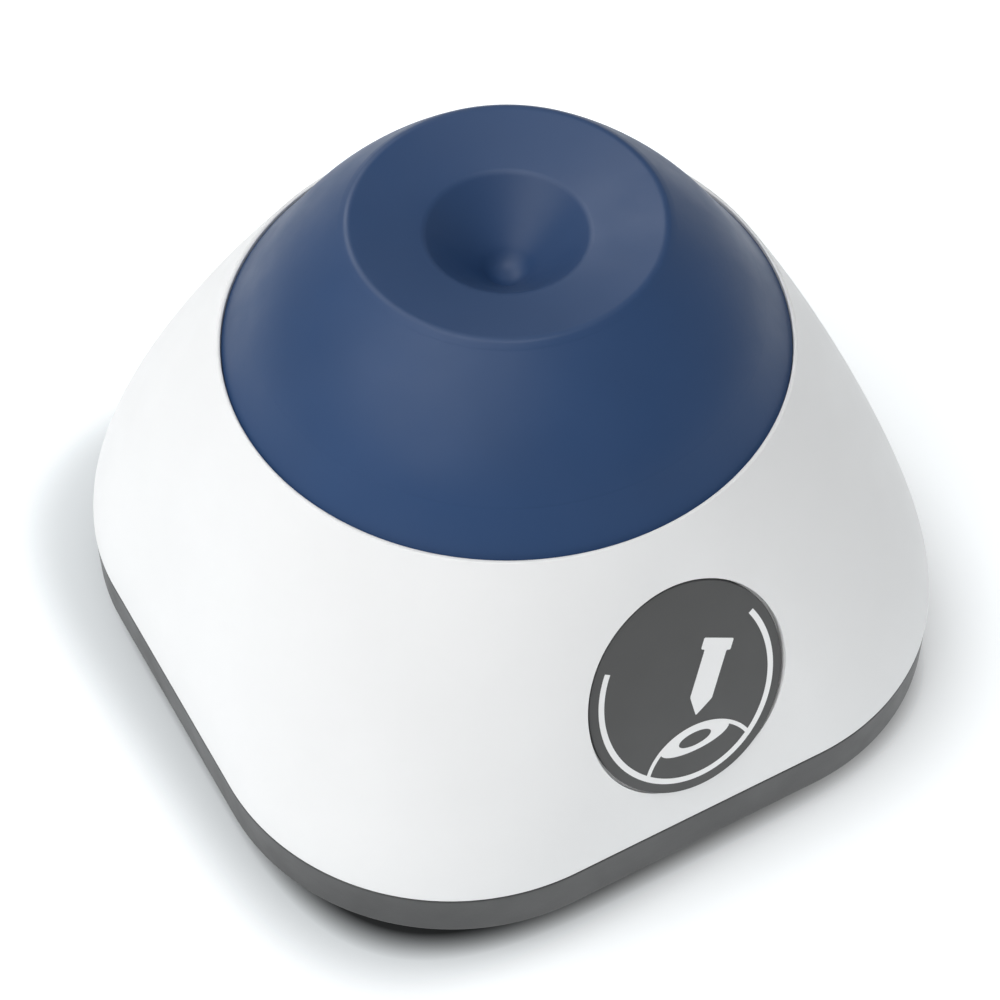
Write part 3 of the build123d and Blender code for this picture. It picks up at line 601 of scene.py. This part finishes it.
def stamp(name, outlines, thickness=0.03 * MM):
    """A thin raised print: closed outlines in the badge's plane, a later one cutting a hole."""
    curve = bpy.data.curves.new(name, "CURVE")
    curve.dimensions = "2D"
    curve.fill_mode = "BOTH"
    curve.extrude = thickness / 2
    for outline in outlines:
        spline = curve.splines.new("POLY")
        spline.points.add(len(outline) - 1)
        for point, (across, up) in zip(spline.points, outline):
            point.co = (across, up, 0, 1)
        spline.use_cyclic_u = True
    flat = bpy.data.objects.new(name + "_curve", curve)
    bpy.context.scene.collection.objects.link(flat)
    graph = bpy.context.evaluated_depsgraph_get()
    mesh = bpy.data.meshes.new_from_object(flat.evaluated_get(graph))
    bpy.data.objects.remove(flat)
    turn = Matrix((badge_across, badge_up, badge_normal)).transposed().to_4x4()
    place = badge_point(0, 0, -BADGE_DEPTH + thickness / 2 - PRINT_SINK)
    mesh.transform(Matrix.Translation(place) @ turn)
    obj = bpy.data.objects.new(name, mesh)
    bpy.context.scene.collection.objects.link(obj)
    bm = bmesh.new()
    bm.from_mesh(mesh)
    bmesh.ops.remove_doubles(bm, verts=bm.verts, dist=MERGE_DISTANCE)
    bm.to_mesh(mesh)
    bm.free()
    tidy_normals(obj)
    dress(obj, print_ink)
    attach(obj, "base")


def arc(centre, radii, start, end, steps):
    """Points on part of an ellipse, angles in degrees."""
    angles = [radians(start + (end - start) * i / steps) for i in range(steps + 1)]
    return [(centre[0] + radii[0] * cos(a), centre[1] + radii[1] * sin(a)) for a in angles]


def line_arc(centre, radii, half_line, start, end, steps):
    """The closed outline of a drawn arc, half_line being half of the line's width."""
    outer = arc(centre, (radii[0] + half_line, radii[1] + half_line), start, end, steps)
    inner = arc(centre, (radii[0] - half_line, radii[1] - half_line), start, end, steps)
    return outer + inner[::-1]


def rounded_polygon(points, radius, steps=5):
    """A closed outline with its corners rounded by a short curve."""
    outline = []
    count = len(points)
    for i, corner in enumerate(points):
        corner = Vector(corner)
        before = (Vector(points[i - 1]) - corner).normalized()
        after = (Vector(points[(i + 1) % count]) - corner).normalized()
        for k in range(steps + 1):
            t = k / steps
            point = corner + before * radius * (1 - t) ** 2 + after * radius * t**2
            outline.append((point.x, point.y))
    return outline


def make_badge():
    """The dark oval plate with its printed ring, tube and cup."""
    edge = 0.12 * MM
    levels = [(badge_back, 0)]
    for angle in QUARTER_TURN:
        levels.append((-BADGE_DEPTH - edge * (1 - sin(angle)), -edge * (1 - cos(angle))))
    plate = oval_plug("badge_face", levels)
    dress(plate, badge_plastic)
    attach(plate, "base")
    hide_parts("badge_plate")

    ring_radii, ring_line = (11.75 * MM, 13.15 * MM), 0.38 * MM
    ring_start, ring_end = 147, 391
    stamp("badge_print_ring", [line_arc((0, 0), ring_radii, ring_line, ring_start, ring_end, 160)])

    # test tube with its cap, leaning a little to the right
    cap, wall = 2.15 * MM, 1.6 * MM
    cap_top, cap_bottom, shoulder, tip = 5.5 * MM, 3.9 * MM, -2.7 * MM, -5.1 * MM
    tube_outline = [
        (-cap, cap_top),
        (cap, cap_top),
        (cap, cap_bottom),
        (wall, cap_bottom),
        (wall, shoulder),
        (0, tip),
        (-wall, shoulder),
        (-wall, cap_bottom),
        (-cap, cap_bottom),
    ]
    tube_lean, tube_round = radians(27), 0.22 * MM
    middle = Vector((2.85 * MM, 0.15 * MM))
    turned = [middle + Matrix.Rotation(-tube_lean, 2) @ Vector(point) for point in tube_outline]
    stamp("badge_print_tube", [rounded_polygon(turned, tube_round)])

    # domed cup with an oval mouth
    dome, dome_radii, dome_line = (-0.1 * MM, -13.0 * MM), (7.75 * MM, 7.0 * MM), 0.27 * MM
    dome_start, dome_end = 21, 159
    dome_outline = line_arc(dome, dome_radii, dome_line, dome_start, dome_end, 80)
    stamp("badge_print_dome", [dome_outline], thickness=0.034 * MM)
    mouth = (-0.1 * MM, -7.7 * MM)
    rim_radii, hole_radii = (4.9 * MM, 1.7 * MM), (2.3 * MM, 0.95 * MM)
    rim = arc(mouth, rim_radii, 0, 357, 100)
    hole = arc(mouth, hole_radii, 0, 356, 80)
    stamp("badge_print_mouth", [rim, hole], thickness=0.038 * MM)


# ------------------------------------------------------------------ rubber bell
# One moulding in three closed pieces: the skirt, the flank, which orbits, and the cup, which is pressed.
BELL_GAP = 0.1 * MM
BELL_SKIN = 2.2 * MM
PIECE_GAP = 0.012 * MM
CREASE_RADIUS = 19.05 * MM
CREASE_ROUND = 0.65 * MM
DISH_DROP = 2.05 * MM
POCKET_RADIUS = 9.75 * MM
POCKET_DEPTH = 7.9 * MM
FOOT_DROP = 0.4 * MM
LEAN_START = 0.3
LEAN_SOFTNESS = 0.2
LEAN_DROP = 0.7 * MM
LOW_HANDLE = (30.0 * MM, 61.3 * MM)
HIGH_HANDLE = (30.4 * MM, 63.5 * MM)
CREASE_OVER = (0.15 * MM, 0.12 * MM)
BRIM_OVER = 0.25 * MM
CROWN_BOTTOM = 66.85 * MM
CORE_INSET = 1.6 * MM
bell_foot = (OPENING_RADIUS - BELL_GAP, opening_height - FOOT_DROP)
crease_corner = (CREASE_RADIUS + CREASE_OVER[0], crease_height + CREASE_OVER[1])
bell_outline = (bell_foot, LOW_HANDLE, HIGH_HANDLE, crease_corner)
lean_top = crease_height - LEAN_DROP
skirt_top = bell_foot[1] + LEAN_START * (lean_top - bell_foot[1])
skirt_share = share_at(skirt_top, bell_outline)
flank_share = share_at(lean_top, bell_outline)
flank_radius, flank_top = bezier(flank_share, bell_outline)
core_radius = flank_radius - CORE_INSET


def bell_lean(height):
    """Share of the way from the motor's axis to the cup's. It starts softly, above the foot."""
    share = min((height - bell_foot[1]) / (lean_top - bell_foot[1]), 1)
    rise = max(share - LEAN_START, 0) / (1 - LEAN_START)
    full = sqrt(1 + LEAN_SOFTNESS**2) - LEAN_SOFTNESS
    return (sqrt(rise**2 + LEAN_SOFTNESS**2) - LEAN_SOFTNESS) / full


def bell_ring(radius, height, lean=None):
    """A round section of the bell, its centre following the lean."""
    lean = bell_lean(height) if lean is None else lean
    return ring(radius, height, (lean * cup_x, lean * cup_y))


def bell_rows(start, end, rows):
    """Radii and heights along the bell's outline between two shares."""
    return [bezier(start + (end - start) * i / rows, bell_outline) for i in range(rows + 1)]


def make_skirt():
    """The clamped flange, the straight neck in the opening and the foot of the flank."""
    flange_bottom = bell_low.z
    flange_radius = 36.9 * MM
    neck_radius, neck_top = bell_foot
    neck_rows, give_length = 14, 5 * MM
    inner_rows = bell_rows(0, skirt_share, 10)
    outer_rows = bell_rows(0, skirt_share, 16)
    skirt_radius = inner_rows[-1][0]
    inner_neck = np.linspace(neck_top, flange_bottom, neck_rows)
    outer_neck = np.linspace(collar_seat, neck_top, neck_rows)
    rings = [bell_ring(skirt_radius - BELL_SKIN, skirt_top)]
    rings += [bell_ring(r - BELL_SKIN, z) for r, z in reversed(inner_rows[:-1])]
    rings += [bell_ring(neck_radius - BELL_SKIN, z) for z in inner_neck[1:]]
    rings.append(bell_ring(flange_radius, flange_bottom))
    rings.append(bell_ring(flange_radius, collar_seat))
    rings += [bell_ring(neck_radius, z) for z in outer_neck]
    rings += [bell_ring(r, z) for r, z in outer_rows[1:]]
    skirt = skin("bell_skirt", rings, closed=True)
    dress(skirt, blue_silicone)
    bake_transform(skirt)


def make_flank():
    """The cone from the skirt to just under the crease, which orbits."""
    inner_gap = 0.1 * MM
    crown_share = share_at(CROWN_BOTTOM, bell_outline)
    crown_radius = bezier(crown_share, bell_outline)[0] - BELL_SKIN
    inner_rows = bell_rows(skirt_share, crown_share, 14)
    rings = [bell_ring(r, z) for r, z in bell_rows(skirt_share, flank_share, 36)]
    rings[0] = rings[0] + np.array([0, 0, PIECE_GAP])
    rings.append(bell_ring(core_radius, flank_top - inner_gap, 1.0))
    rings.append(bell_ring(core_radius, CROWN_BOTTOM, 1.0))
    rings.append(bell_ring(crown_radius, CROWN_BOTTOM))
    rings += [bell_ring(r - BELL_SKIN, z) for r, z in reversed(inner_rows[:-1])]
    rings[-1] = rings[-1] + np.array([0, 0, inner_gap])
    flank = skin("bell_flank", rings, closed=True)
    dress(flank, blue_silicone)
    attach(flank, "rotor")


def make_cup():
    """The rounded crease, the dish, the pocket and the plug that fills the holder, which is pressed."""
    brim_round = 0.55 * MM
    plug_radius, plug_bottom = 11.45 * MM, 61.1 * MM
    inner_radius = core_radius - BELL_GAP
    pole_radius = 0.05 * MM
    dish_height = crease_height - DISH_DROP
    bottom = dish_height - POCKET_DEPTH
    below = (flank_radius, flank_top + PIECE_GAP)
    brim = (POCKET_RADIUS + BRIM_OVER, dish_height)
    tip_radius, tip_height = 3.3 * MM, 1.75 * MM
    wall_foot = (tip_radius, bottom + tip_height)
    tip = ((0, bottom), (1.3 * MM, bottom), (2.0 * MM, bottom + 0.25 * MM), wall_foot)
    outline = [below]
    outline += round_corner(below, crease_corner, brim, CREASE_ROUND)[1:]
    outline += straight(crease_corner, brim, 10)[:-1]
    outline += round_corner(crease_corner, brim, wall_foot, brim_round)
    outline += straight(outline[-1], wall_foot, 12)
    outline += [bezier(1 - k / 14, tip) for k in range(14)]
    outline.append((pole_radius, bottom))
    underside = [
        (plug_radius * 0.5, plug_bottom),
        (plug_radius, plug_bottom),
        (plug_radius, CROWN_BOTTOM),
        (inner_radius, CROWN_BOTTOM),
        (inner_radius, flank_top),
    ]
    cup = skin("bell_cup", [bell_ring(r, z, 1.0) for r, z in underside + outline])
    dress(cup, blue_silicone)
    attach(cup, "cup")
    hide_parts("silicone_bell")


# ------------------------------------------------------------------ springs and leads
def tube(name, paths, radius, sides=16):
    """Round wire along each path, with closed ends."""
    vertices, faces = [], []
    for path in paths:
        path = [Vector(point) for point in path]
        first = len(vertices)
        side = None
        for i, point in enumerate(path):
            along = (path[min(i + 1, len(path) - 1)] - path[max(i - 1, 0)]).normalized()
            side = along.orthogonal() if side is None else side - along * side.dot(along)
            side.normalize()
            up = along.cross(side)
            for k in range(sides):
                angle = 2 * pi * k / sides
                vertices.append(point + (side * cos(angle) + up * sin(angle)) * radius)
        for i in range(len(path) - 1):
            for k in range(sides):
                a = first + i * sides
                j = (k + 1) % sides
                faces.append((a + k, a + j, a + sides + j, a + sides + k))
        last = first + (len(path) - 1) * sides
        faces.append(tuple(first + k for k in range(sides)))
        faces.append(tuple(last + k for k in range(sides)))
    return new_object(name, vertices, faces)


def smooth_path(points, steps=10):
    """A path through the given points, curving evenly between them."""
    points = [Vector(point) for point in points]
    ends = [points[0] * 2 - points[1], *points, points[-1] * 2 - points[-2]]
    path = []
    for a, b, c, d in zip(ends, ends[1:], ends[2:], ends[3:]):
        for k in range(steps):
            t = k / steps
            squared = (a * 2 - b * 5 + c * 4 - d) * t**2
            cubed = (b * 3 - a - c * 3 + d) * t**3
            path.append((b * 2 + (c - a) * t + squared + cubed) / 2)
    return [*path, points[-1]]


def make_springs():
    """Four coil springs round the guide posts, with flat end coils."""
    spring_low, spring_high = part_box("return_springs")
    wire = 0.35 * MM
    coil_radius = 3.3 * MM
    turns, steps = 8.5, 48
    low, high = spring_low.z + wire, spring_high.z - wire
    end_turns = 0.75
    lead_in = end_turns / turns
    post_sites = corners(24 * MM, 12 * MM)
    paths = []
    for x, y in post_sites:
        path = []
        for i in range(int(turns * steps) + 1):
            t = i / (turns * steps)
            rise = min(max((t - lead_in) / (1 - 2 * lead_in), 0), 1)
            angle = 2 * pi * turns * t
            across, along = coil_radius * cos(angle), coil_radius * sin(angle)
            path.append((x + across, y + along, low + (high - low) * rise))
        paths.append(path)
    springs = tube("coil_springs", paths, wire)
    dress(springs, spring_steel)
    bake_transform(springs)
    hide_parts("return_springs")


def make_leads():
    """Two insulated wires from the motor's terminals to the board's header."""
    lead_radius = 0.55 * MM
    low, high = 10.2 * MM, 16.1 * MM
    loose_start, loose_end = 5.5 * MM, 23.5 * MM
    paths = []
    for start, end in ((-7.0 * MM, 8.75 * MM), (7.0 * MM, 11.25 * MM)):
        route = [
            (start, 0.9 * MM, low),
            (start, loose_start, low),
            ((start + end) / 2, 10.5 * MM, low),
            (end, 15.5 * MM, low),
            (end, 20.5 * MM, low + 1.4 * MM),
            (end, loose_end, high - 0.6 * MM),
            (end, 27.4 * MM, high),
        ]
        paths.append(smooth_path(route))
    leads = tube("motor_wires", paths, lead_radius)
    dress(leads, red_insulation)
    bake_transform(leads)
    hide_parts("motor_leads")


make_springs()
make_leads()
make_shell()
make_tray()
make_badge()
make_skirt()
make_flank()
make_cup()


# ------------------------------------------------------------------ floor, light and camera
def area_light(name, place, aim, size, power, gloss_only=False):
    """A square soft light at place, facing aim. Gloss only means it shows just as a reflection."""
    data = bpy.data.lights.new(name, "AREA")
    data.size = size
    data.energy = power
    light = bpy.data.objects.new(name, data)
    light.location = place
    light.visible_diffuse = not gloss_only
    light.rotation_mode = "QUATERNION"
    light.rotation_quaternion = (Vector(aim) - Vector(place)).to_track_quat("-Z", "Y")
    bpy.context.scene.collection.objects.link(light)


def shade_floor(paper):
    """Paint a soft shadow round the object's foot, and a glow beyond it that leans to the front right."""
    roundness = 4.0
    contact_reach, contact_shade = (half_width - 3.8 * MM, half_width - 0.4 * MM), (0.06, 1.0)
    halo_reach, halo_shade = (half_width - 2.0 * MM, half_width + 14.0 * MM), (0.80, 1.0)
    glow_reach, glow_strength = (half_width - 2.5 * MM, half_width + 7.0 * MM), (0.0, 0.33)
    glow_lean = 0.07
    tree = paper.node_tree
    place = tree.nodes.new("ShaderNodeTexCoord")
    axes = tree.nodes.new("ShaderNodeSeparateXYZ")
    tree.links.new(place.outputs["Object"], axes.inputs["Vector"])
    x, y = axes.outputs["X"], axes.outputs["Y"]
    powers = [calculate(tree, "POWER", calculate(tree, "ABSOLUTE", axis), roundness) for axis in (x, y)]
    distance = calculate(tree, "POWER", calculate(tree, "ADD", *powers), 1 / roundness)
    leaned = calculate(tree, "MULTIPLY_ADD", x, glow_lean, distance)
    leaned = calculate(tree, "MULTIPLY_ADD", y, -glow_lean, leaned)
    glow = map_range(tree, leaned, glow_reach, glow_strength, "SMOOTHSTEP")
    contact = map_range(tree, distance, contact_reach, contact_shade)
    halo = map_range(tree, distance, halo_reach, halo_shade)
    shader = tree.nodes["Principled BSDF"]
    shaded = tree.nodes.new("ShaderNodeVectorMath")
    shaded.operation = "SCALE"
    tree.links.new(shader.inputs["Base Color"].links[0].from_socket, shaded.inputs[0])
    tree.links.new(calculate(tree, "MULTIPLY", contact, halo), shaded.inputs["Scale"])
    tree.links.new(shaded.outputs["Vector"], shader.inputs["Base Color"])
    shader.inputs["Emission Color"].default_value = (1, 1, 1, 1)
    tree.links.new(glow, shader.inputs["Emission Strength"])


def make_floor():
    """A wide pale floor."""
    size, cells = 4.0, 24
    steps = [size * (i / cells - 0.5) for i in range(cells + 1)]
    vertices = [(x, y, 0) for y in steps for x in steps]
    row = cells + 1
    faces = [
        (j * row + i, j * row + i + 1, (j + 1) * row + i + 1, (j + 1) * row + i)
        for j in range(cells)
        for i in range(cells)
    ]
    floor = new_object("floor", vertices, faces)
    paper = finish("floor_paper", (0.92, 0.955, 0.975), 0.9, shade=0.004, specular=0.1)
    shade_floor(paper)
    dress(floor, paper)


def make_world():
    """Even surroundings, white with a trace of blue."""
    world = bpy.data.worlds.new("surroundings")
    world.use_nodes = True
    background = world.node_tree.nodes["Background"]
    background.inputs["Color"].default_value = (0.985, 0.995, 1.0, 1)
    background.inputs["Strength"].default_value = 0.47
    bpy.context.scene.world = world


def make_camera():
    """Looks down at the front left corner through a long lens."""
    azimuth, elevation = radians(-29.35), radians(50.9)
    centre, distance = Vector((0, 0, 31.5 * MM)), 347.46 * MM
    aim = Vector((-3.19 * MM, -4.0 * MM, 27.39 * MM))
    back = Vector((sin(azimuth) * cos(elevation), -cos(azimuth) * cos(elevation), sin(elevation)))
    place = centre + back * distance
    data = bpy.data.cameras.new("camera")
    data.lens = 96.06
    data.sensor_width = 36.0
    data.clip_start = 10 * MM
    camera = bpy.data.objects.new("camera", data)
    camera.location = place
    camera.rotation_mode = "QUATERNION"
    camera.rotation_quaternion = (aim - place).to_track_quat("-Z", "Y")
    bpy.context.scene.collection.objects.link(camera)
    bpy.context.scene.camera = camera


make_floor()
make_world()
make_camera()
bpy.context.scene.view_settings.view_transform = "Standard"
middle_of_object = (0, 0, 30 * MM)
area_light("key", (-0.61, -0.05, 1.03), middle_of_object, 1.2, 10.7)
area_light("back", (-0.10, 0.85, 0.82), middle_of_object, 0.6, 6.0, gloss_only=True)
area_light("top", (-0.05, -0.02, 1.25), middle_of_object, 0.4, 3.0, gloss_only=True)
